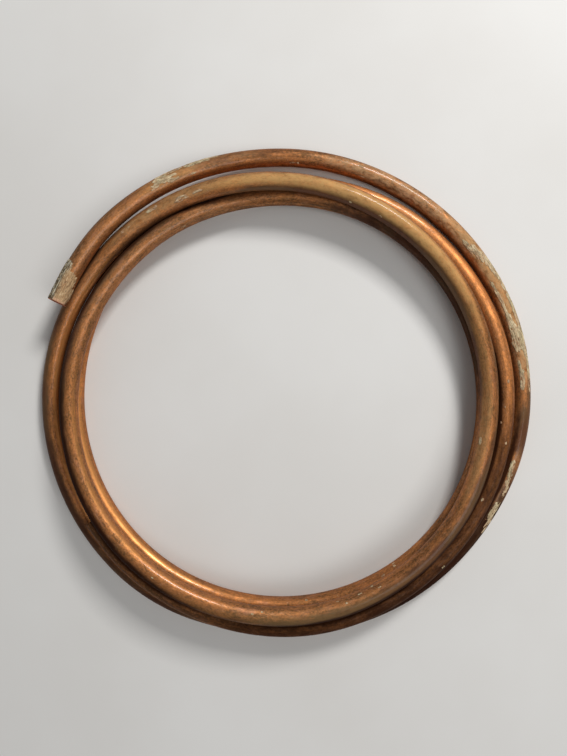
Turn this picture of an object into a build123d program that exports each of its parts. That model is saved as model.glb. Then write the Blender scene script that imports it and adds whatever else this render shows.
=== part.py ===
from build123d import *
import math
import os

# A coil of bare copper water tube, 1 inch nominal, lying flat with +Z up.
# The middle of the coil's box stands on the Z axis and its lowest turns rest on Z = 0.
# One length of tube: it starts at the free outer end, runs clockwise as seen from above,
# and goes round almost four times. All sizes are in millimetres.

# The tube, whose ends are cut square, with the outer edge of each rim rolled in a little
tube_diameter = 28.575
wall = 1.65
straight_end = 30.0
rim_round = 0.5

# The coil
innermost_radius = 325.0
turn_gap = 0.6
station_step = 45.0
first_station = 135.0

# The lay of the tube, one row for each turn and one pair for each eighth of a turn, in the order
# upper left, top, upper right, right, lower right, bottom, lower left and left, as seen from above.
# A pair is how many tube widths the centre line lies outside the innermost radius, and how many
# tube widths it lies above a tube on the floor.
lay_ratios = [
    [(2.35, 1.20), (2.27, 0.32), (2.21, 0.0), (2.14, 0.0), (1.76, 0.0), (1.70, 0.0), (2.10, 0.0), (2.09, 0.0)],
    [(1.35, 0.88), (0.44, 1.5), (0.0, 1.35), (-0.08, 1.15), (0.24, 1.5), (0.57, 1.75), (0.64, 1.9), (0.52, 1.54)],
    [(0.25, 0.88), (-0.03, 0.46), (-0.01, 0.32), (0.11, 0.0), (0.38, 0.0), (0.62, 0.0), (0.76, 0.0), (0.74, 0.0)],
    [(0.85, 0.0), (0.88, 0.0), (1.07, 0.0), (0.92, 0.79), (1.11, 0.85), (1.41, 1.0), (1.44, 0.82)],
]
outer_end_angle = 154.0
outer_end_ratios = (2.19, 1.48)
inner_end_angle = 218.0
inner_end_ratios = (1.36, 0.88)

tube_radius = tube_diameter / 2
bore_radius = tube_radius - wall
lay_width = tube_diameter + turn_gap


def lay_row(angle, pair):
    """Angle, radius and height of the centre line at one station."""
    out, up = pair
    return angle, innermost_radius + out * lay_width, tube_radius + up * lay_width


def stations():
    """Every station along the tube, from the outer end to the inner one."""
    rows = [lay_row(outer_end_angle, outer_end_ratios)]
    angle = first_station
    for turn in lay_ratios:
        for pair in turn:
            rows.append(lay_row(angle, pair))
            angle -= station_step
    rows.append(lay_row(inner_end_angle - 360.0 * len(lay_ratios), inner_end_ratios))
    return rows


def rate(rows, i, column):
    """How fast a value changes per radian between station i and the next."""
    return (rows[i + 1][column] - rows[i][column]) / math.radians(rows[i + 1][0] - rows[i][0])


def slope(rows, i, column):
    """Slope at station i that never swings past a neighbour's value."""
    before = rate(rows, max(i - 1, 0), column)
    after = rate(rows, min(i, len(rows) - 2), column)
    if before * after <= 0:
        return 0.0
    return 2 * before * after / (before + after)


def stations_with_tangents():
    """A point and the tube's direction at each station."""
    rows = stations()
    result = []
    for i, (angle, radius, height) in enumerate(rows):
        a = math.radians(angle)
        outward = Vector(math.cos(a), math.sin(a), 0)
        onward = Vector(-math.sin(a), math.cos(a), 0)
        rise = Vector(0, 0, slope(rows, i, 2))
        direction = -(outward * slope(rows, i, 1) + onward * radius + rise)
        result.append((outward * radius + Vector(0, 0, height), direction.normalized()))
    return result


def meeting_point(p1, t1, p2, t2):
    """Where two arcs meet smoothly, one leaving p1 along t1 and one reaching p2 along t2."""
    v = p2 - p1
    both = t1 + t2
    spread = 2 * (1 - t1.dot(t2))
    reach = (math.sqrt(v.dot(both) ** 2 + spread * v.dot(v)) - v.dot(both)) / spread
    return (p1 + t1 * reach + p2 - t2 * reach) * 0.5


def centre_line():
    """The tube's centre line: a straight end, two tangent arcs between stations, a straight end."""
    nodes = stations_with_tangents()
    first, first_direction = nodes[0]
    last, last_direction = nodes[-1]
    edges = [Edge.make_line(first - first_direction * straight_end, first)]
    for (p1, t1), (p2, t2) in zip(nodes, nodes[1:]):
        middle = meeting_point(p1, t1, p2, t2)
        edges.append(Edge.make_tangent_arc(p1, t1, middle))
        edges.append(Edge.make_tangent_arc(middle, edges[-1] % 1, p2))
    edges.append(Edge.make_line(last, last + last_direction * straight_end))
    return edges


def copper_tube():
    """The tube's wall along the whole centre line, open at both ends."""
    line = Wire(centre_line())
    section = Plane(origin=line @ 0, z_dir=line % 0)
    ring = section * (Circle(tube_radius) - Circle(bore_radius))
    tube = sweep(ring, path=line)
    rims = [end.outer_wire().edge() for end in tube.faces().filter_by(GeomType.PLANE)]
    return fillet(rims, rim_round), line


tube, line = copper_tube()
box = tube.bounding_box()
to_stored_place = Pos(-box.center().X, -box.center().Y, -box.min.Z)
tube = to_stored_place * tube
line = to_stored_place * line
wall_area = math.pi * (tube_radius ** 2 - bore_radius ** 2)
print("tube length", round(line.length, 1), "volume over section times length",
      round(tube.volume / (wall_area * line.length), 5))
print("outer end at", line @ 0, "facing", -(line % 0))
print("inner end at", line @ 1, "facing", line % 1)
os.makedirs("parts", exist_ok=True)
export_step(tube, "parts/copper_tube.step")
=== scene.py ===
import bpy
import math
import numpy as np
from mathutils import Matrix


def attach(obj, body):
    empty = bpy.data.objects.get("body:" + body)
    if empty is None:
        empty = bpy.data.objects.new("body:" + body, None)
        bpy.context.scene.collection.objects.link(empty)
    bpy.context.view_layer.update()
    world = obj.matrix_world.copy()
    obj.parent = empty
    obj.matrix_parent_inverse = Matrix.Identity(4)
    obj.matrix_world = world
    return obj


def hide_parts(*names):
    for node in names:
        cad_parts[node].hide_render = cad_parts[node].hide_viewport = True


# The coil of copper tube, dressed. Everything is in metres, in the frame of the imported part.
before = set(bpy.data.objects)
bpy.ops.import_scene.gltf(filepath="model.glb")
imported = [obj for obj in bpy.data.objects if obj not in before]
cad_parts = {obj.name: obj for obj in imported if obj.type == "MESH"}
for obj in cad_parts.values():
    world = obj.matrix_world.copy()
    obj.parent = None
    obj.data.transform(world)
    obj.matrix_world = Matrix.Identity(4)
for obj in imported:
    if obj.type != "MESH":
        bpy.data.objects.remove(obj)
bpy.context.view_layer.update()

# The tube
TUBE_DIAMETER = 0.028575
WALL = 0.00165
STRAIGHT_END = 0.030
RIM_ROUND = 0.0005
TUBE_RADIUS = TUBE_DIAMETER / 2
BORE_RADIUS = TUBE_RADIUS - WALL

# The lay of its turns, as in the part: tube widths outward and upward at each eighth of a turn,
# from the outer end on. Angles in degrees.
INNERMOST_RADIUS = 0.325
TURN_GAP = 0.0006
LAY_WIDTH = TUBE_DIAMETER + TURN_GAP
STATION_STEP = 45.0
FIRST_STATION = 135.0
LAY_RATIOS = [
    [(2.35, 1.20), (2.27, 0.32), (2.21, 0.0), (2.14, 0.0),
     (1.76, 0.0), (1.70, 0.0), (2.10, 0.0), (2.09, 0.0)],
    [(1.35, 0.88), (0.44, 1.5), (0.0, 1.35), (-0.08, 1.15),
     (0.24, 1.5), (0.57, 1.75), (0.64, 1.9), (0.52, 1.54)],
    [(0.25, 0.88), (-0.03, 0.46), (-0.01, 0.32), (0.11, 0.0),
     (0.38, 0.0), (0.62, 0.0), (0.76, 0.0), (0.74, 0.0)],
    [(0.85, 0.0), (0.88, 0.0), (1.07, 0.0), (0.92, 0.79),
     (1.11, 0.85), (1.41, 1.0), (1.44, 0.82)],
]
OUTER_END = (154.0, (2.19, 1.48))
INNER_END = (218.0, (1.36, 0.88))

# An arc with a smaller half angle than this, in radians, counts as straight
NEARLY_STRAIGHT = 1e-4
# Points on each arc: of the curve, for the coil's box, and for distances along the tube
CURVE_RESOLUTION = 48
BOX_POINTS = 60
ARC_STEPS = 32
# Handles beyond the tube's two ends
END_HANDLE = 0.01

# How finely the tube is made: round it, along its outside, along its bore and round each rim
FACETS = 48
ROW_STEP = 0.006
BORE_ROW_STEP = 0.024
RIM_STEPS = 4
# Its shallow dents
DENT_DEPTH = 0.00008
DENTS_PER_METRE = 14.0

# How far from a neighbouring turn the painted shade and grime begin
SHADE_AND_GRIME_REACH = 0.01103
# Steps along the tube at which its turns are compared, and the stretch that counts as one turn
TURN_STEP = 0.008
SAME_TURN = 0.5
# A gap wider than any between two turns
FAR_AWAY = 1.0
# How many points are compared at a time
POINTS_AT_ONCE = 4000

# Mineral scale on the tube: distance from the outer end and angle round the tube from its top
# towards the coil's outside, half the length and half the angle that it covers, and thickness.
# Millimetres and degrees.
SCALE_PATCHES = [
    (16, 5, 20, 125, 0.9), (34, 14, 22, 108, 1.0), (54, 42, 17, 62, 0.9),
    (258, 16, 15, 34, 0.55), (273, -8, 18, 30, 0.5), (274, 48, 30, 22, 0.45),
    (245, -12, 10, 16, 0.3), (322, 40, 26, 26, 0.5), (314, -31, 10, 8, 0.3),
    (345, 52, 18, 16, 0.3), (483, -55, 10, 14, 0.25), (594, 10, 5, 8, 0.2),
    (600, -50, 5, 6, 0.2), (818, -20, 18, 20, 0.45), (838, 0, 26, 26, 0.5),
    (862, 30, 30, 24, 0.5), (905, -28, 20, 12, 0.55), (932, -22, 28, 14, 0.6),
    (905, 44, 50, 26, 0.5), (960, 46, 45, 30, 0.6), (965, -18, 22, 26, 0.6),
    (990, -5, 26, 45, 0.7), (1004, 40, 24, 32, 0.6), (1036, -22, 12, 14, 0.5),
    (1058, -12, 22, 20, 0.6), (1050, 40, 34, 18, 0.4), (1205, -2, 16, 19, 0.55),
    (1223, 8, 17, 18, 0.5), (1241, 22, 13, 16, 0.45), (1280, 18, 20, 24, 0.6),
    (1299, 34, 20, 20, 0.45), (2581, 9, 10, 14, 0.25), (2635, 14, 12, 18, 0.35),
    (2684, -14, 13, 20, 0.35), (2712, -12, 10, 12, 0.2), (2964, -59, 3, 8, 0.4),
    (3018, -54, 4, 8, 0.4), (3446, -52, 8, 12, 0.45), (3738, -39, 4, 6, 0.4),
    (3748, -72, 3, 9, 0.4), (3770, -57, 5, 6, 0.4), (3795, -34, 3, 10, 0.4),
    (3808, -58, 4, 9, 0.4), (3928, -41, 3, 8, 0.4), (3943, -23, 3, 7, 0.4),
    (4106, -1, 3, 7, 0.4), (4772, -64, 5, 10, 0.4), (5798, -72, 4, 8, 0.4),
    (5799, -50, 3, 10, 0.4), (5823, -39, 4, 8, 0.4), (5905, -30, 3, 8, 0.4),
    (5957, -45, 3, 8, 0.4), (6185, -21, 4, 8, 0.4), (7622, 1, 4, 8, 0.4),
    (7662, -20, 3, 6, 0.4), (7688, -39, 3, 7, 0.4), (7719, 8, 3, 8, 0.4),
    (7816, -21, 4, 7, 0.4), (7937, 31, 4, 8, 0.4),
]
# Dark stain in the copper and painted shade, in the same way, with its strength
STAINS_AND_PAINTED_SHADE = [
    (160, 82, 130, 52, 1.3), (80, 75, 30, 50, 1.1), (1140, 20, 56, 80, 1.1),
    (1095, 50, 50, 44, 0.9), (875, 10, 22, 40, 0.5), (3330, 62, 130, 34, 0.7),
    (3470, 62, 140, 34, 0.8), (3700, 34, 320, 66, 1.2), (7700, 52, 120, 36, 0.5),
    (7900, 48, 180, 40, 0.5), (1380, 20, 220, 90, 1.0), (1720, 30, 240, 70, 0.8),
    (3050, -82, 420, 58, 1.2), (2150, 46, 460, 66, 1.2), (4450, 50, 520, 56, 1.0),
    (5250, -60, 300, 80, 1.0), (6350, 50, 300, 40, 0.4), (2560, -75, 160, 34, 0.4),
    (5700, 0, 240, 80, 0.35), (400, 15, 140, 60, 0.5),
]
# Painted highlights of bright copper, partly where the turns have rubbed, in the same way
RUBBED_AND_PAINTED_HIGHLIGHTS = [
    (2200, -56, 380, 26, 1.2), (6330, -44, 260, 22, 0.8), (4270, -50, 230, 18, 0.5),
    (8300, 66, 260, 16, 0.6),
]
# Pale dusty film, in the same way
FILMS = [
    (330, 20, 110, 60, 0.3), (690, -4, 190, 74, 1.0), (830, 0, 120, 80, 1.0),
    (960, 20, 130, 90, 1.0), (1230, 15, 70, 40, 0.5), (2650, 0, 110, 60, 0.5),
    (2950, 20, 260, 50, 0.4), (4640, -20, 180, 60, 0.2), (3860, -30, 160, 30, 0.2),
    (1330, 44, 70, 30, 0.4), (4800, -30, 120, 50, 0.3), (2480, 10, 60, 60, 0.3),
    (3450, -40, 100, 40, 0.4), (7250, 10, 160, 50, 0.3), (120, 0, 150, 60, 0.25),
]
# Khaki dust, in the same way
KHAKI = [
    (2980, -4, 320, 56, 1.0), (3380, -36, 200, 40, 0.4), (2700, 20, 200, 60, 0.4),
    (270, 10, 60, 60, 0.4), (900, 20, 160, 80, 0.4), (3850, 30, 260, 60, 0.2),
]
# Grime and painted shade, in the same way, besides the painted shade near the next turn
DIRT_AND_PAINTED_SHADE = [
    (8500, -34, 260, 62, 1.1), (8460, 30, 240, 150, 0.4), (8120, 10, 300, 120, 0.75),
    (8140, -50, 330, 52, 1.1), (7800, -62, 330, 44, 1.1), (7860, 20, 260, 100, 0.7),
    (7850, 84, 330, 40, 1.1), (4260, 60, 360, 70, 0.95), (4620, 66, 260, 58, 0.8),
    (5250, -70, 280, 60, 0.5), (2180, -104, 330, 28, 1.0), (1900, 40, 500, 60, 0.4),
    (1380, -34, 330, 34, 1.2), (1420, 30, 260, 80, 0.85), (3720, 72, 320, 50, 0.9),
    (6200, 34, 560, 34, 0.8),
]
# The marks behind each level kept on the tube, and how soon a mark is full inside its edge
MARKS = {
    "stain": (STAINS_AND_PAINTED_SHADE, 1.15),
    "rubbed": (RUBBED_AND_PAINTED_HIGHLIGHTS, 1.3),
    "film": (FILMS, 1.6),
    "khaki": (KHAKI, 1.6),
    "grime": (DIRT_AND_PAINTED_SHADE, 1.4),
}
# Powers of the oval outlines of a mark, a patch of scale and the squares under a patch
MARK_POWER = 2.0
PATCH_POWER = 3.0
SQUARES_POWER = 4.0

# How the scale is made: the side of its squares, the first row of them from the outer end, and
# its least thickness in millimetres
SQUARE = 0.00075
FIRST_ROW = 1
THINNEST_SCALE = 0.2
# How deep it is sunk in the tube's skin, and its lumps
SUNK_DEPTH = 0.0004
LUMPS_PER_METRE = 170.0
# Thicknesses from thin and gappy to thick and full
SCALE_FULLNESS = (0.0002, 0.0009)
# The height, in thicknesses, at which its lumps are flat, before its ridges
FLAT_TOP = 0.7
# Crust further below the skin than this is taken away
LOWEST_LIFT = -0.00012
WELD_DISTANCE = 0.00001

# How clean the metal is at distances in metres from the outer end
TONE_STOPS = [
    (0.0, 0.38), (0.25, 0.32), (0.5, 0.28), (1.2, 0.42), (1.5, 0.26), (2.1, 0.44), (2.6, 0.48),
    (3.1, 0.40), (3.6, 0.36), (4.0, 0.40), (4.6, 0.32), (5.2, 0.30), (5.8, 0.38), (6.4, 0.58),
    (7.1, 0.72), (7.45, 0.72), (7.75, 0.40), (8.1, 0.20), (8.5, 0.20),
]

# Patterns on the straight tube: fineness along the tube against that across it, start in the
# noise, scale for each metre, detail, roughness and warp
PATTERNS = {
    "copper clouds": (0.22, (0, 0, 0), 34, 4, 0.60, 0.4),
    "copper blotches": (0.35, (6, 4, 0), 130, 5, 0.70, 0.5),
    "copper mottle": (0.60, (2, 9, 4), 460, 4, 0.65, 0.3),
    "copper streaks": (0.10, (3, 1, 2), 420, 3, 0.55, 0.0),
    "copper bloom": (0.30, (8, 0, 5), 90, 6, 0.75, 0.4),
    "copper pale spots": (0.50, (7, 3, 1), 300, 4, 0.70, 0.0),
    "copper drawn lines": (0.004, (0, 3, 5), 2200, 2, 0.60, 0.0),
    "copper grain": (0.70, (0, 0, 0), 1500, 3, 0.60, 0.0),
    "stain clouds": (0.30, (5, 0, 1), 90, 5, 0.65, 0.6),
    "stain hue": (0.40, (0, 7, 0), 22, 2, 0.55, 0.0),
    "dust": (0.50, (1, 2, 8), 150, 6, 0.70, 0.5),
    "dust specks": (0.60, (9, 0, 3), 900, 2, 0.50, 0.0),
    "crust lumps": (0.50, (0, 0, 0), 160, 5, 0.65, 0.5),
    "crust grain": (1.0, (0, 0, 0), 1400, 4, 0.70, 0.0),
    "crust tints": (0.50, (4, 0, 0), 60, 3, 0.55, 0.0),
    "crust streaks": (0.14, (1, 0, 6), 480, 3, 0.55, 0.0),
    "crust cracks": (0.26, (0, 2, 0), 430, 5, 0.70, 1.0),
    "crust ridges": (0.12, (2, 5, 0), 520, 2, 0.55, 0.0),
    "crust flakes": (0.40, (0, 0, 6), 620, 3, 0.60, 0.0),
}

# Shades of the copper and what lies on it, as on a screen, from 0 to 255
DULL_BROWN = (112, 78, 48)
WARM_BROWN = (170, 112, 66)
CLEAN_COPPER = (228, 148, 84)
PINK_BLOOM = (186, 128, 98)
OLIVE_BLOOM = (140, 104, 58)
PALE_SPOTS = (200, 146, 110)
# Painted highlight, partly rubbed copper
RUBBED_AND_HIGHLIGHT_COPPER = (246, 172, 100)
# Dark stain, also used as painted shade
PURPLE_STAIN_AND_SHADE = (84, 54, 40)
OLIVE_STAIN_AND_SHADE = (94, 74, 52)
PALE_DUST = (214, 172, 128)
KHAKI_DUST = (206, 164, 104)
# Painted shade between the turns and in the bore, with grime
GRIME_AND_PAINTED_SHADE = (42, 17, 9)
SAWN_COPPER = (226, 150, 120)
COPPER_GLINT = (190, 150, 120)
# Shades of the mineral scale
KHAKI_CRUST = (170, 150, 112)
PINK_CRUST = (196, 160, 122)
CREAM_LUMPS = (228, 208, 168)
BROWN_HOLLOWS = (126, 94, 64)
DARK_PITS = (92, 66, 44)
CREAM_STREAKS = (218, 202, 162)
THIN_CRUST = (172, 122, 86)
# Crust at the outer end and its grey outer side, darkened partly as painted shade
END_CRUST_AND_SHADE = (180, 134, 88)
GREY_CRUST_AND_SHADE = (92, 84, 62)
PALE_RIDGES = (198, 192, 170)
PALE_FLAKES = (214, 188, 148)
DARK_CRACKS = (60, 46, 30)
BARE_COPPER = (210, 162, 128)
# Shades of the floor
PALE_FLOOR = (232, 230, 226)
DULL_FLOOR = (226, 223, 218)

# Distances over which a look fades: fresh metal along the tube, thin crust by its height,
# the end's darker crust with its painted shade along the tube, its grey side with painted shade
# towards the outside, and its bare rim along the tube and towards the inside
SAWN_FADE = (0.0004, 0.0010)
THIN_CRUST_FADE = (0.00002, 0.00016)
END_CRUST_FADE = (0.070, 0.090)
GREY_SIDE_FADE = (0.003, 0.012)
BARE_RIM_FADE = (0.011, 0.015)
BARE_SIDE_FADE = (0.004, -0.001)
# How far the edges of the grey, painted-shade side and of the bare rim wander
GREY_SIDE_WANDER = 0.012
BARE_RIM_WANDER = 0.016

# The studio. Softboxes: azimuth and elevation in degrees, distance from the coil's middle, side
# and watts.
SOFTBOXES = {
    "key_softbox": (60, 42, 3.4, 0.8, 74.0),
    "fill_softbox": (-35, 58, 4.0, 2.0, 43.0),
}
SKY_COLOUR = (0.95, 0.97, 1.0, 1.0)
SKY_STRENGTH = 0.2
FLOOR_REACH = 12.0
# The camera: its place from the middle of the lay, its tilt in degrees, its sensor and nearest
# distance, and its focal length in pixels of a frame of this height
CAMERA_PLACE = (-0.004, -0.015, 0.9496)
CAMERA_TILT = 2.5
CAMERA_SENSOR = 36.0
CAMERA_NEAREST = 0.01
FOCAL_PIXELS = 568
FRAME_HEIGHT = 756


def unit(v):
    return v / np.linalg.norm(v)


# The centre line

def lay_row(angle, pair):
    """Angle, radius and height of the centre line at one station."""
    return angle, INNERMOST_RADIUS + pair[0] * LAY_WIDTH, TUBE_RADIUS + pair[1] * LAY_WIDTH


def stations():
    """Every station along the tube, from the outer end to the inner one."""
    rows = [lay_row(*OUTER_END)]
    angle = FIRST_STATION
    for turn in LAY_RATIOS:
        for pair in turn:
            rows.append(lay_row(angle, pair))
            angle -= STATION_STEP
    rows.append(lay_row(INNER_END[0] - 360.0 * len(LAY_RATIOS), INNER_END[1]))
    return rows


def rate(rows, i, column):
    """How fast a column changes with the angle, from station i to the next."""
    return (rows[i + 1][column] - rows[i][column]) / math.radians(rows[i + 1][0] - rows[i][0])


def slope(rows, i, column):
    """Slope at station i that never swings past a neighbour's value."""
    before = rate(rows, max(i - 1, 0), column)
    after = rate(rows, min(i, len(rows) - 2), column)
    return 0.0 if before * after <= 0 else 2 * before * after / (before + after)


def stations_with_tangents():
    """The place and the direction of the centre line at every station."""
    rows = stations()
    result = []
    for i, (angle, radius, height) in enumerate(rows):
        a = math.radians(angle)
        outward = np.array([math.cos(a), math.sin(a), 0.0])
        onward = np.array([-math.sin(a), math.cos(a), 0.0])
        rise = np.array([0.0, 0.0, slope(rows, i, 2)])
        direction = -(outward * slope(rows, i, 1) + onward * radius + rise)
        result.append((outward * radius + np.array([0.0, 0.0, height]), unit(direction)))
    return result


def meeting_point(p1, t1, p2, t2):
    """Where two arcs meet smoothly, one leaving p1 along t1 and one reaching p2 along t2."""
    v = p2 - p1
    both = t1 + t2
    spread = 2 * (1 - t1 @ t2)
    reach = (math.sqrt((v @ both) ** 2 + spread * (v @ v)) - v @ both) / spread
    return (p1 + t1 * reach + p2 - t2 * reach) / 2


def knots():
    """The ends of all arcs in order, each with the tube's direction there."""
    nodes = stations_with_tangents()
    first, last = nodes[0], nodes[-1]
    result = [(first[0] - first[1] * STRAIGHT_END, first[1])]
    for (p1, t1), (p2, t2) in zip(nodes, nodes[1:]):
        middle = meeting_point(p1, t1, p2, t2)
        chord = unit(middle - p1)
        result += [(p1, t1), (middle, 2 * (t1 @ chord) * chord - t1)]
    return result + [last, (last[0] + last[1] * STRAIGHT_END, last[1])]


def arcs(line):
    """The two knots of every arc, in order."""
    return list(zip(line, line[1:]))


def arc_size(start, end):
    """Length of the arc between two knots, and of the handles that draw it."""
    chord = end[0] - start[0]
    size = np.linalg.norm(chord)
    half = math.acos(min(1.0, start[1] @ chord / size))
    if half < NEARLY_STRAIGHT:
        return size, size / 3
    radius = size / (2 * math.sin(half))
    return 2 * half * radius, 4 / 3 * math.tan(half / 2) * radius


def arc_points(start, end, count):
    """Points on the Bezier between two knots."""
    handle = arc_size(start, end)[1]
    t = np.linspace(0, 1, count)[:, None]
    a, b, c, d = start[0], start[0] + start[1] * handle, end[0] - end[1] * handle, end[0]
    return a * (1 - t) ** 3 + 3 * b * t * (1 - t) ** 2 + 3 * c * t ** 2 * (1 - t) + d * t ** 3


def to_stored_place(line):
    """How far the coil moves so that the middle of its box stands on the Z axis."""
    points = np.vstack([arc_points(a, b, BOX_POINTS) for a, b in arcs(line)])
    middle = (points.min(0) + points.max(0)) / 2
    return np.array([-middle[0], -middle[1], 0.0])


def centre_line_curve(line):
    """The centre line as a Bezier curve whose handles draw the arcs."""
    data = bpy.data.curves.new("centre_line", "CURVE")
    data.dimensions = "3D"
    data.resolution_u = CURVE_RESOLUTION
    spline = data.splines.new("BEZIER")
    spline.bezier_points.add(len(line) - 1)
    handles = [END_HANDLE] + [arc_size(a, b)[1] for a, b in arcs(line)] + [END_HANDLE]
    for i, (place, direction) in enumerate(line):
        point = spline.bezier_points[i]
        point.handle_left_type = point.handle_right_type = "FREE"
        point.co = place
        point.handle_left = place - direction * handles[i]
        point.handle_right = place + direction * handles[i + 1]
    curve = bpy.data.objects.new("centre_line", data)
    bpy.context.scene.collection.objects.link(curve)
    return curve


# Nodes

def colour(shade):
    """A shade seen on a screen, from 0 to 255, as the shader takes it."""
    parts = [c / 255 for c in shade]
    return tuple(c / 12.92 if c <= 0.04045 else ((c + 0.055) / 1.055) ** 2.4
                 for c in parts) + (1.0,)


def node(tree, kind, inputs=None, output=0, **settings):
    """One output of a new node, whose inputs are values or other nodes' outputs."""
    made = tree.nodes.new(kind)
    for name, value in settings.items():
        setattr(made, name, value)
    for key, value in (inputs or {}).items():
        if isinstance(value, bpy.types.NodeSocket):
            tree.links.new(value, made.inputs[key])
        else:
            made.inputs[key].default_value = value
    return made.outputs[output]


def maths(tree, operation, a, b=0.0):
    return node(tree, "ShaderNodeMath", {0: a, 1: b}, operation=operation)


def plus(tree, a, b):
    return maths(tree, "ADD", a, b)


def times(tree, a, b):
    return maths(tree, "MULTIPLY", a, b)


def larger(tree, a, b):
    return maths(tree, "MAXIMUM", a, b)


def vector_maths(tree, operation, a, b=(0.0, 0.0, 0.0)):
    return node(tree, "ShaderNodeVectorMath", {0: a, 1: b}, operation=operation)


def scaled(tree, vector, factor):
    return node(tree, "ShaderNodeVectorMath", {0: vector, "Scale": factor}, operation="SCALE")


def parts_of(tree, vector):
    """The X, Y and Z of a vector."""
    return node(tree, "ShaderNodeSeparateXYZ", {0: vector}).node.outputs


def ramped(tree, value, low, high, to_low=0.0, to_high=1.0):
    """A value that eases from one level to another."""
    return node(tree, "ShaderNodeMapRange", {0: value, 1: low, 2: high, 3: to_low, 4: to_high},
                interpolation_type="SMOOTHSTEP")


def noise(tree, place, scale, detail, rough=0.55, warp=0.0):
    return node(tree, "ShaderNodeTexNoise", {"Vector": place, "Scale": scale, "Detail": detail,
                                             "Roughness": rough, "Distortion": warp})


def stretched(tree, place, along, start=(0.0, 0.0, 0.0)):
    """The place on the straight tube, drawn out along it."""
    sized = vector_maths(tree, "MULTIPLY", place, (along, 1.0, 1.0))
    return vector_maths(tree, "ADD", sized, start)


def pattern(tree, place, name):
    """One of the patterns on the straight tube."""
    along, start, scale, detail, rough, warp = PATTERNS[name]
    return noise(tree, stretched(tree, place, along, start), scale, detail, rough, warp)


def mixed(tree, factor, a, b):
    """Two colours, the second where the factor is 1."""
    return node(tree, "ShaderNodeMix", {0: factor, 6: a, 7: b}, output=2, data_type="RGBA")


def layered(tree, under, level, share, shade):
    """A shade laid over a colour where a level is 1, by a share."""
    return mixed(tree, times(tree, level, share), under, colour(shade))


def tinted(tree, under, value, low, high, share, shade):
    """A shade laid over a colour by a share, as a value goes from low to high."""
    return mixed(tree, ramped(tree, value, low, high, 0.0, share), under, colour(shade))


# Materials

def new_material(name):
    material = bpy.data.materials.new(name)
    material.use_nodes = True
    tree = material.node_tree
    tree.nodes.clear()
    return material, tree


def finish_material(tree, inputs):
    shader = node(tree, "ShaderNodeBsdfPrincipled", inputs)
    tree.links.new(shader, tree.nodes.new("ShaderNodeOutputMaterial").inputs["Surface"])


def bumps(tree, relief, strength, distance):
    return node(tree, "ShaderNodeBump",
                {"Strength": strength, "Distance": distance, "Height": relief})


def attribute(tree, name, output="Fac"):
    return node(tree, "ShaderNodeAttribute", attribute_name=name, output=output)


def tone_along(tree, along, length, stops):
    """A level that changes along the tube, from pairs of distance and level."""
    made = tree.nodes.new("ShaderNodeValToRGB")
    made.color_ramp.interpolation = "EASE"
    elements = made.color_ramp.elements
    while len(elements) < len(stops):
        elements.new(0.5)
    for element, (distance, level) in zip(elements, stops):
        element.position = distance / length
        element.color = (level, level, level, 1.0)
    tree.links.new(maths(tree, "DIVIDE", along, length), made.inputs[0])
    return made.outputs[0]


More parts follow.
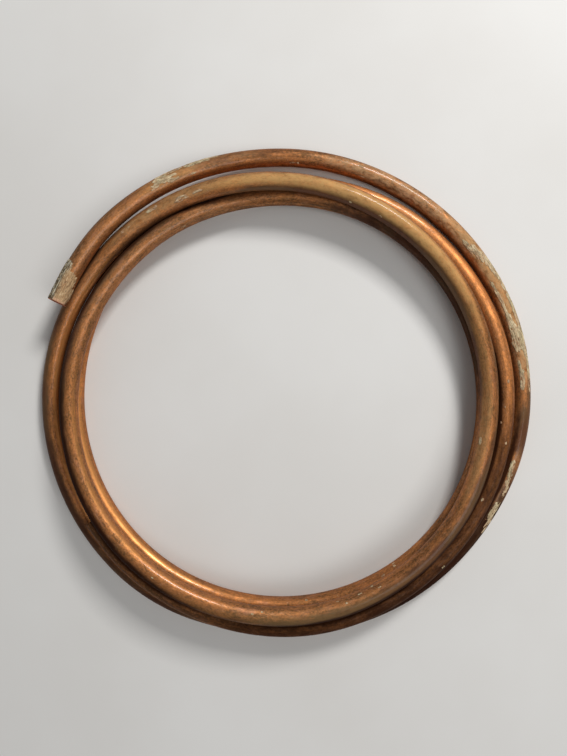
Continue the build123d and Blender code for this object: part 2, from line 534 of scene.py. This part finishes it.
def aged_copper(length):
    """Old soft copper: brown bloom, streaks along the tube, dark stains and a dusty film, with
    painted shade and painted highlights.
    """
    material, tree = new_material("aged_copper")
    place = attribute(tree, "straight", "Vector")
    along = parts_of(tree, place)[0]

    # How clean the metal is, from dull brown to bright orange
    clean = tone_along(tree, along, length, TONE_STOPS)
    clouds = pattern(tree, place, "copper clouds")
    blotches = pattern(tree, place, "copper blotches")
    mottle = pattern(tree, place, "copper mottle")
    streaks = pattern(tree, place, "copper streaks")
    for shape, swing in ((clouds, 0.16), (blotches, 0.15), (mottle, 0.22), (streaks, 0.08)):
        clean = plus(tree, clean, ramped(tree, shape, 0.3, 0.7, -swing, swing))
    copper = mixed(tree, ramped(tree, clean, 0.05, 0.45), colour(DULL_BROWN), colour(WARM_BROWN))
    copper = tinted(tree, copper, clean, 0.40, 1.0, 1.0, CLEAN_COPPER)
    bloom = pattern(tree, place, "copper bloom")
    copper = tinted(tree, copper, bloom, 0.52, 0.70, 0.50, PINK_BLOOM)
    copper = tinted(tree, copper, bloom, 0.46, 0.30, 0.45, OLIVE_BLOOM)
    pale = pattern(tree, place, "copper pale spots")
    copper = tinted(tree, copper, pale, 0.54, 0.68, 0.45, PALE_SPOTS)
    # Painted highlights, partly rubbed bright copper, where light falls on the turns
    rubbed = times(tree, attribute(tree, "rubbed"), ramped(tree, blotches, 0.3, 0.6, 0.6, 1.0))
    copper = layered(tree, copper, rubbed, 0.8, RUBBED_AND_HIGHLIGHT_COPPER)

    # Darker stain and painted shade, with olive and purple in it
    patch_clouds = pattern(tree, place, "stain clouds")
    ragged = ramped(tree, patch_clouds, 0.25, 0.75, -0.35, 0.25)
    stain = ramped(tree, plus(tree, attribute(tree, "stain"), ragged), -0.05, 0.90)
    hue = ramped(tree, pattern(tree, place, "stain hue"), 0.42, 0.58)
    stain_and_shade_colour = mixed(tree, hue, colour(PURPLE_STAIN_AND_SHADE), colour(OLIVE_STAIN_AND_SHADE))
    copper = mixed(tree, times(tree, stain, 0.85), copper, stain_and_shade_colour)

    # Pale dust, thickest where the film lies, with fine specks everywhere
    dust = pattern(tree, place, "dust")
    film = times(tree, attribute(tree, "film"), ramped(tree, dust, 0.30, 0.70))
    specks = ramped(tree, pattern(tree, place, "dust specks"), 0.74, 0.80, 0.0, 0.6)
    film = larger(tree, film, specks)
    copper = layered(tree, copper, film, 0.75, PALE_DUST)
    khaki = times(tree, attribute(tree, "khaki"), ramped(tree, dust, 0.30, 0.60, 0.45, 1.0))
    copper = layered(tree, copper, khaki, 0.75, KHAKI_DUST)
    film = larger(tree, film, times(tree, khaki, 0.8))

    # Dark grime and painted shade where the turns lie against each other, and painted shade inside
    # the bore
    ragged = ramped(tree, patch_clouds, 0.3, 0.7, -0.12, 0.08)
    grime = ramped(tree, plus(tree, attribute(tree, "grime"), ragged), 0.05, 0.95)
    copper = layered(tree, copper, grime, 0.94, GRIME_AND_PAINTED_SHADE)

    # Fresh metal at the sawn outer end
    fresh = ramped(tree, along, *SAWN_FADE, 1.0, 0.0)
    copper = mixed(tree, fresh, copper, colour(SAWN_COPPER))

    # Gloss, which stain, painted shade, dust and grime take away
    cover = larger(tree, larger(tree, times(tree, stain, 0.6), film), grime)
    metal = ramped(tree, cover, 0.0, 1.0, 0.80, 0.15)
    rough = ramped(tree, blotches, 0.3, 0.7, 0.58, 0.46)
    rough = plus(tree, rough, times(tree, cover, 0.3))
    rough = maths(tree, "SUBTRACT", rough, times(tree, rubbed, 0.12))
    coat = ramped(tree, cover, 0.0, 1.0, 0.28, 0.20)
    coat = times(tree, coat, maths(tree, "SUBTRACT", 1.0, grime))
    lines = pattern(tree, place, "copper drawn lines")
    grain = pattern(tree, place, "copper grain")
    relief = plus(tree, times(tree, lines, 0.5), grain)
    finish_material(tree, {"Base Color": copper, "Metallic": metal, "Roughness": rough,
                           "Normal": bumps(tree, relief, 0.25, 0.0001),
                           "Coat Weight": coat, "Coat Roughness": 0.14,
                           "Specular IOR Level": 0.2, "Specular Tint": colour(COPPER_GLINT)})
    return material


def mineral_scale():
    """Dried mineral crust: khaki and pink, with cream lumps and dark pits, and painted shade at the
    outer end.
    """
    material, tree = new_material("mineral_scale")
    place = attribute(tree, "straight", "Vector")
    lumps = pattern(tree, place, "crust lumps")
    grain = pattern(tree, place, "crust grain")
    tints = pattern(tree, place, "crust tints")
    streaks = pattern(tree, place, "crust streaks")
    crust = mixed(tree, ramped(tree, tints, 0.40, 0.60), colour(KHAKI_CRUST), colour(PINK_CRUST))
    crust = tinted(tree, crust, lumps, 0.48, 0.64, 1.0, CREAM_LUMPS)
    crust = tinted(tree, crust, lumps, 0.45, 0.32, 1.0, BROWN_HOLLOWS)
    crust = tinted(tree, crust, grain, 0.44, 0.30, 0.7, DARK_PITS)
    crust = tinted(tree, crust, streaks, 0.50, 0.62, 0.6, CREAM_STREAKS)
    thin = ramped(tree, attribute(tree, "lift"), *THIN_CRUST_FADE, 0.75, 0.0)
    crust = mixed(tree, thin, crust, colour(THIN_CRUST))

    # The crust at the outer end is darker, partly painted shade, and grey with painted shade and
    # pale ridges on its outer side
    along, aside, _ = parts_of(tree, place)
    end_crust = ramped(tree, along, *END_CRUST_FADE, 1.0, 0.0)
    crust = layered(tree, crust, end_crust, 0.7, END_CRUST_AND_SHADE)
    wandering = plus(tree, aside, times(tree, tints, GREY_SIDE_WANDER))
    grey_crust_and_shade = times(tree, ramped(tree, wandering, *GREY_SIDE_FADE), end_crust)
    crust = layered(tree, crust, grey_crust_and_shade, 0.85, GREY_CRUST_AND_SHADE)
    ridges = times(tree, ramped(tree, streaks, 0.52, 0.60), grey_crust_and_shade)
    crust = mixed(tree, ridges, crust, colour(PALE_RIDGES))

    # Long cracks, with pale flakes between those at the outer end
    cracks = pattern(tree, place, "crust cracks")
    pale = times(tree, ramped(tree, cracks, 0.54, 0.61, 0.0, 0.85), end_crust)
    crust = mixed(tree, pale, crust, colour(PALE_FLAKES))
    dark = ramped(tree, cracks, 0.49, 0.43, 0.0, 0.95)
    dark = times(tree, dark, ramped(tree, grey_crust_and_shade, 0.0, 1.0, 0.5, 1.0))
    crust = mixed(tree, dark, crust, colour(DARK_CRACKS))

    # Metal showing at the rim, on its inner side
    wandering = plus(tree, along, times(tree, lumps, BARE_RIM_WANDER))
    bare = times(tree, ramped(tree, wandering, *BARE_RIM_FADE, 1.0, 0.0),
                 ramped(tree, aside, *BARE_SIDE_FADE, 0.0, 0.8))
    bare = times(tree, bare, ramped(tree, cracks, 0.42, 0.50))
    crust = mixed(tree, bare, crust, colour(BARE_COPPER))

    relief = plus(tree, lumps, times(tree, grain, 0.5))
    finish_material(tree, {"Base Color": crust, "Roughness": 0.85,
                           "Normal": bumps(tree, relief, 0.6, 0.0004)})
    return material


def studio_floor():
    """Pale and dull, with faint clouds."""
    material, tree = new_material("studio_floor")
    place = node(tree, "ShaderNodeTexCoord", output="Object")
    clouds = ramped(tree, noise(tree, place, scale=2.0, detail=4.0), 0.3, 0.7)
    shade = mixed(tree, clouds, colour(PALE_FLOOR), colour(DULL_FLOOR))
    finish_material(tree, {"Base Color": shade, "Roughness": 0.7})
    return material


# Shapes on a straight tube, which a node tree then lays along the centre line

def mesh_object(name, points, faces, levels):
    """A mesh with a number at each point for every named level."""
    mesh = bpy.data.meshes.new(name)
    mesh.from_pydata(points, [], faces)
    mesh.update()
    for level, values in levels.items():
        kept = mesh.attributes.new(level, "FLOAT", "POINT")
        kept.data.foreach_set("value", np.asarray(values, np.float32))
    thing = bpy.data.objects.new(name, mesh)
    bpy.context.scene.collection.objects.link(thing)
    return thing


def marks_at(along, around, marks, fullness=1.0, power=MARK_POWER):
    """The strongest of some oval marks at points of the tube, from 0 at a mark's edge."""
    level = np.zeros(len(along))
    for middle, angle, half_length, half_angle, strength in marks:
        far = (np.abs((along * 1000 - middle) / half_length) ** power
               + np.abs((np.degrees(around) - angle) / half_angle) ** power)
        level = np.maximum(level, strength * np.clip((1 - far) * fullness, 0, 1))
    return level


def read_at(distances, at, values):
    """Vectors known at some distances along the line, read at others."""
    return np.column_stack([np.interp(distances, at, values[:, k]) for k in range(3)])


def centre_at(line, distances):
    """Places on the centre line at distances from the outer end, and outward and onward there."""
    sizes = [arc_size(a, b)[0] for a, b in arcs(line)]
    starts = np.concatenate([[0.0], np.cumsum(sizes)])
    steps = np.arange(ARC_STEPS) / ARC_STEPS
    at = [start + size * steps for start, size in zip(starts, sizes)]
    at = np.concatenate(at + [starts[-1:]])
    places = [arc_points(a, b, ARC_STEPS + 1)[:-1] for a, b in arcs(line)]
    places = np.vstack(places + [line[-1][0][None]])
    onward = read_at(distances, at, np.gradient(places, at, axis=0))
    outward = np.column_stack([-onward[:, 1], onward[:, 0], np.zeros(len(onward))])
    outward /= np.linalg.norm(outward, axis=1)[:, None]
    return read_at(distances, at, places), outward, onward


def closeness(line, along, around):
    """How near each point of the skin is to another turn, from 0 at SHADE_AND_GRIME_REACH to 1, for
    the painted shade.
    """
    centre, outward, onward = centre_at(line, along)
    upward = np.cross(onward, outward)
    aside = np.sin(around)[:, None] * outward + np.cos(around)[:, None] * upward
    skin = centre + TUBE_RADIUS * aside
    turns = np.arange(0.0, along.max(), TURN_STEP)
    others = centre_at(line, turns)[0]
    near = np.full(len(along), FAR_AWAY)
    for start in range(0, len(along), POINTS_AT_ONCE):
        rows = slice(start, start + POINTS_AT_ONCE)
        gap = np.linalg.norm(skin[rows, None] - others[None], axis=2) - TUBE_RADIUS
        gap[np.abs(along[rows, None] - turns[None]) < SAME_TURN] = FAR_AWAY
        near[rows] = gap.min(1)
    return np.clip(1 - near / SHADE_AND_GRIME_REACH, 0, 1)


def tube_rows(length):
    """Distance along and radius of each row of points, out along the outside and back inside."""
    rim = [(0.0, BORE_RADIUS)]
    for step in range(RIM_STEPS + 1):
        a = math.radians(90 * step / RIM_STEPS)
        rim.append((RIM_ROUND * (1 - math.cos(a)), TUBE_RADIUS - RIM_ROUND * (1 - math.sin(a))))
    far_rim = [(length - x, radius) for x, radius in reversed(rim)]
    plain = length - 2 * RIM_ROUND
    count = round(plain / ROW_STEP)
    outside = [(RIM_ROUND + plain * i / count, TUBE_RADIUS) for i in range(1, count)]
    count = round(length / BORE_ROW_STEP)
    bore = [(length * (1 - i / count), BORE_RADIUS) for i in range(1, count)]
    return rim + outside + far_rim + bore


def straight_tube(length, line):
    """The tube's wall as one closed skin, open at both ends, with its stains, films, grime, painted
    shade and painted highlights.
    """
    rows = tube_rows(length)
    angles = [2 * math.pi * k / FACETS for k in range(FACETS)]
    points = [(x, radius * math.sin(a), radius * math.cos(a)) for x, radius in rows for a in angles]
    faces = []
    for i in range(len(rows)):
        here, there = i * FACETS, (i + 1) % len(rows) * FACETS
        for k in range(FACETS):
            onward = (k + 1) % FACETS
            faces.append((here + k, there + k, there + onward, here + onward))
    along = np.repeat([x for x, _ in rows], FACETS)
    around = np.tile([(a + math.pi) % (2 * math.pi) - math.pi for a in angles], len(rows))
    outside = np.repeat([radius > BORE_RADIUS + WALL / 2 for _, radius in rows], FACETS)
    levels = {name: marks_at(along, around, marks, fullness) * outside
              for name, (marks, fullness) in MARKS.items()}
    # The bore is painted dark all over, as grime and painted shade
    grime = np.maximum(closeness(line, along, around), levels["grime"])
    levels["grime"] = np.where(outside, grime, 1.0)
    return mesh_object("aged_copper_tube", points, faces, levels)


def flat_scale():
    """Squares of the tube's unrolled skin under every patch of scale, with its thickness."""
    squares = set()
    for middle, angle, half_length, half_angle, _ in SCALE_PATCHES:
        centre = (middle / 1000, math.radians(angle) * TUBE_RADIUS)
        reach = (half_length / 1000, math.radians(half_angle) * TUBE_RADIUS)
        low = [math.floor((c - r) / SQUARE) for c, r in zip(centre, reach)]
        high = [math.ceil((c + r) / SQUARE) for c, r in zip(centre, reach)]
        for i in range(max(low[0], FIRST_ROW), high[0]):
            for j in range(low[1], high[1]):
                far = sum(((n * SQUARE - c) / r) ** SQUARES_POWER
                          for n, c, r in zip((i, j), centre, reach))
                if far < 1:
                    squares.add((i, j))
    corners = sorted({(i + a, j + b) for i, j in squares for a in (0, 1) for b in (0, 1)})
    number = {corner: k for k, corner in enumerate(corners)}
    faces = [tuple(number[i + a, j + b] for a, b in ((0, 0), (1, 0), (1, 1), (0, 1)))
             for i, j in sorted(squares)]
    points = np.array(corners) * SQUARE
    along, around = points[:, 0], points[:, 1] / TUBE_RADIUS
    reach = np.zeros(len(points))
    thickness = np.full(len(points), THINNEST_SCALE)
    for *place, thick in SCALE_PATCHES:
        level = marks_at(along, around, [(*place, 1.0)], power=PATCH_POWER)
        reach = np.maximum(reach, level)
        thickness = np.maximum(thickness, thick * (level > 0))
    flat = np.column_stack([points, np.zeros(len(points))])
    return mesh_object("mineral_scale", flat.tolist(), faces,
                       {"reach": reach, "thickness": thickness / 1000})


# The node trees

def new_tree(name, sizes):
    """An empty geometry tree with its mesh, centre line, finish and named sizes as inputs."""
    tree = bpy.data.node_groups.new(name, "GeometryNodeTree")
    tree.is_modifier = True
    tree.interface.new_socket("Geometry", in_out="OUTPUT", socket_type="NodeSocketGeometry")
    inputs = [("Straight Shape", "NodeSocketGeometry"), ("Centre Line", "NodeSocketObject"),
              ("Finish", "NodeSocketMaterial")] + [(size, "NodeSocketFloat") for size in sizes]
    for title, kind in inputs:
        tree.interface.new_socket(title, in_out="INPUT", socket_type=kind)
    given = tree.nodes.new("NodeGroupInput")
    return tree, {socket.name: socket for socket in given.outputs if socket.name}


def keep_value(tree, shape, name, value, kind="FLOAT"):
    """The shape with a value kept at its points."""
    return node(tree, "GeometryNodeStoreNamedAttribute",
                {"Geometry": shape, "Name": name, "Value": value}, data_type=kind, domain="POINT")


def kept_value(tree, name, kind="FLOAT"):
    return node(tree, "GeometryNodeInputNamedAttribute", {"Name": name}, data_type=kind)


def moved(tree, shape, **inputs):
    """The shape with its points at a new Position, or moved by an Offset."""
    return node(tree, "GeometryNodeSetPosition", {"Geometry": shape, **inputs})


def laid(tree, given, shape):
    """A straight shape bent along the centre line, with its straight place for the materials."""
    place = node(tree, "GeometryNodeInputPosition")
    shape = keep_value(tree, shape, "straight", place, "FLOAT_VECTOR")
    line = node(tree, "GeometryNodeObjectInfo", {"Object": given["Centre Line"]},
                output="Geometry")
    line = node(tree, "GeometryNodeSetCurveNormal", {"Curve": line}, mode="Z_UP")
    along, out, up = parts_of(tree, place)
    share = maths(tree, "DIVIDE", along, given["Tube Length"])
    sample = node(tree, "GeometryNodeSampleCurve", {"Curves": line, "Factor": share},
                  mode="FACTOR").node.outputs
    outward = scaled(tree, sample["Normal"], -1.0)
    upward = vector_maths(tree, "CROSS_PRODUCT", sample["Tangent"], outward)
    aside = vector_maths(tree, "ADD", scaled(tree, outward, out), scaled(tree, upward, up))
    return moved(tree, shape, Position=vector_maths(tree, "ADD", sample["Position"], aside))


def finish_tree(tree, given, shape):
    """Smooth faces, one real mesh and its finish, as the tree's result."""
    shape = node(tree, "GeometryNodeSetShadeSmooth", {"Geometry": shape})
    shape = node(tree, "GeometryNodeRealizeInstances", {"Geometry": shape})
    shape = node(tree, "GeometryNodeSetMaterial", {"Geometry": shape, "Material": given["Finish"]})
    tree.links.new(shape, tree.nodes.new("NodeGroupOutput").inputs[0])
    return tree


def tube_tree():
    """Presses shallow dents into the straight tube and lays it."""
    tree, given = new_tree("laid_tube", ["Tube Length", "Dent Depth", "Dents Per Metre"])
    place = node(tree, "GeometryNodeInputPosition")
    dents = ramped(tree, noise(tree, place, given["Dents Per Metre"], detail=2.0), 0.35, 0.75)
    across = vector_maths(tree, "MULTIPLY", place, (0.0, 1.0, 1.0))
    outward = vector_maths(tree, "NORMALIZE", across)
    depth = times(tree, dents, times(tree, given["Dent Depth"], -1.0))
    shape = moved(tree, given["Straight Shape"], Offset=scaled(tree, outward, depth))
    return finish_tree(tree, given, laid(tree, given, shape))


def scale_tree():
    """Raises crust over the flat squares, closes it below the tube's skin and lays it."""
    sizes = ["Tube Length", "Tube Radius", "Sunk Depth", "Lumps Per Metre"]
    tree, given = new_tree("laid_scale", sizes)

    # Where each square's corner is on the round skin
    along, around, _ = parts_of(tree, node(tree, "GeometryNodeInputPosition"))
    angle = maths(tree, "DIVIDE", around, given["Tube Radius"])
    outward = node(tree, "ShaderNodeCombineXYZ",
                   {1: maths(tree, "SINE", angle), 2: maths(tree, "COSINE", angle)})
    skin = vector_maths(tree, "ADD", scaled(tree, outward, given["Tube Radius"]),
                        node(tree, "ShaderNodeCombineXYZ", {0: along}))

    # How far the crust rises there, in thicknesses, with lumps, flakes and ridges
    thickness = kept_value(tree, "thickness")
    lumps = noise(tree, stretched(tree, skin, 0.5), given["Lumps Per Metre"], 4.0, 0.6, 0.4)
    ridges = pattern(tree, skin, "crust ridges")
    flakes = pattern(tree, skin, "crust flakes")
    fullness = ramped(tree, thickness, *SCALE_FULLNESS, 0.4, 1.5)
    height = ramped(tree, kept_value(tree, "reach"), 0.0, 0.8, -1.0, fullness)
    for relief, fall, rise in ((lumps, -0.9, 0.7), (flakes, -0.35, 0.3), (ridges, -0.4, 0.3)):
        height = plus(tree, height, ramped(tree, relief, 0.3, 0.7, fall, rise))
    height = maths(tree, "MINIMUM", height, FLAT_TOP)
    height = plus(tree, height, ramped(tree, ridges, 0.35, 0.65, -0.15, 0.4))

    # Both are kept at the points, because the points change below
    shape = keep_value(tree, given["Straight Shape"], "lift", times(tree, height, thickness))
    lift = kept_value(tree, "lift")
    sunk = maths(tree, "LESS_THAN", lift, LOWEST_LIFT)
    shape = node(tree, "GeometryNodeDeleteGeometry", {"Geometry": shape, "Selection": sunk},
                 domain="POINT")
    shape = keep_value(tree, shape, "outward", outward, "FLOAT_VECTOR")
    outward = kept_value(tree, "outward", "FLOAT_VECTOR")

    # An underside sunk in the tube, and a raised top with sides down to it
    below = scaled(tree, outward, times(tree, given["Sunk Depth"], -1.0))
    shape = moved(tree, shape, Position=vector_maths(tree, "ADD", skin, below))
    under = node(tree, "GeometryNodeFlipFaces", {"Mesh": shape})
    raised = node(tree, "GeometryNodeExtrudeMesh",
                  {"Mesh": shape, "Offset Scale": 0.0, "Individual": False},
                  mode="FACES").node.outputs
    rise = scaled(tree, outward, plus(tree, lift, given["Sunk Depth"]))
    above = moved(tree, raised["Mesh"], Selection=raised["Top"], Offset=rise)
    joined = tree.nodes.new("GeometryNodeJoinGeometry")
    for part in (above, under):
        tree.links.new(part, joined.inputs[0])
    shape = node(tree, "GeometryNodeMergeByDistance",
                 {"Geometry": joined.outputs[0], "Distance": WELD_DISTANCE})
    return finish_tree(tree, given, laid(tree, given, shape))


def laid_piece(thing, tree, line, finish, sizes):
    """Runs a tree on a straight shape and keeps the result as a plain mesh."""
    modifier = thing.modifiers.new("lay", "NODES")
    modifier.node_group = tree
    inputs = {"Centre Line": line, "Finish": finish, **sizes}
    for socket in tree.interface.items_tree:
        if socket.in_out == "INPUT" and socket.name in inputs:
            modifier[socket.identifier] = inputs[socket.name]
    bpy.context.view_layer.update()
    evaluated = thing.evaluated_get(bpy.context.evaluated_depsgraph_get())
    mesh = bpy.data.meshes.new_from_object(evaluated)
    thing.modifiers.clear()
    thing.data = mesh
    mesh.name = thing.name
    return thing


# The studio

def add_floor():
    """A pale floor, which isn't part of the coil."""
    r = FLOOR_REACH
    corners = [(-r, -r, 0.0), (r, -r, 0.0), (r, r, 0.0), (-r, r, 0.0)]
    floor = mesh_object("floor", corners, [(0, 1, 2, 3)], {})
    floor.data.materials.append(studio_floor())


def add_softbox(name, azimuth, elevation, distance, side, watts, middle):
    """A square softbox on a ring round the coil, turned to its middle."""
    data = bpy.data.lights.new(name, "AREA")
    data.energy = watts
    data.size = side
    light = bpy.data.objects.new(name, data)
    a, e = math.radians(azimuth), math.radians(elevation)
    light.location = [middle[0] + distance * math.cos(e) * math.cos(a),
                      middle[1] + distance * math.cos(e) * math.sin(a), distance * math.sin(e)]
    light.rotation_euler = (math.pi / 2 - e, 0.0, a + math.pi / 2)
    light.visible_camera = False
    bpy.context.scene.collection.objects.link(light)


def add_sky():
    """An even pale sky."""
    world = bpy.data.worlds.new("studio")
    world.use_nodes = True
    background = world.node_tree.nodes["Background"]
    background.inputs["Color"].default_value = SKY_COLOUR
    background.inputs["Strength"].default_value = SKY_STRENGTH
    bpy.context.scene.world = world


def add_camera(middle):
    """A camera that looks down on the coil."""
    data = bpy.data.cameras.new("camera")
    data.sensor_width = CAMERA_SENSOR
    data.lens = CAMERA_SENSOR * FOCAL_PIXELS / FRAME_HEIGHT
    data.clip_start = CAMERA_NEAREST
    camera = bpy.data.objects.new("camera", data)
    camera.location = middle + CAMERA_PLACE
    camera.rotation_euler = (math.radians(CAMERA_TILT), 0.0, 0.0)
    bpy.context.scene.collection.objects.link(camera)
    bpy.context.scene.camera = camera


def studio(middle):
    """A pale floor, two softboxes, an even sky and a camera that looks down on the coil."""
    add_floor()
    for name, setting in SOFTBOXES.items():
        add_softbox(name, *setting, middle)
    add_sky()
    add_camera(middle)
    bpy.context.scene.view_settings.view_transform = "Standard"


line = knots()
length = sum(arc_size(a, b)[0] for a, b in arcs(line))
shift = to_stored_place(line)
line = [(place + shift, direction) for place, direction in line]
curve = centre_line_curve(line)

tube = laid_piece(straight_tube(length, line), tube_tree(), curve, aged_copper(length),
                  {"Tube Length": length, "Dent Depth": DENT_DEPTH,
                   "Dents Per Metre": DENTS_PER_METRE})
scale = laid_piece(flat_scale(), scale_tree(), curve, mineral_scale(),
                   {"Tube Length": length, "Tube Radius": TUBE_RADIUS, "Sunk Depth": SUNK_DEPTH,
                    "Lumps Per Metre": LUMPS_PER_METRE})
bpy.data.objects.remove(curve)

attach(tube, "root")
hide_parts("copper_tube")
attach(scale, "root")
studio(shift)
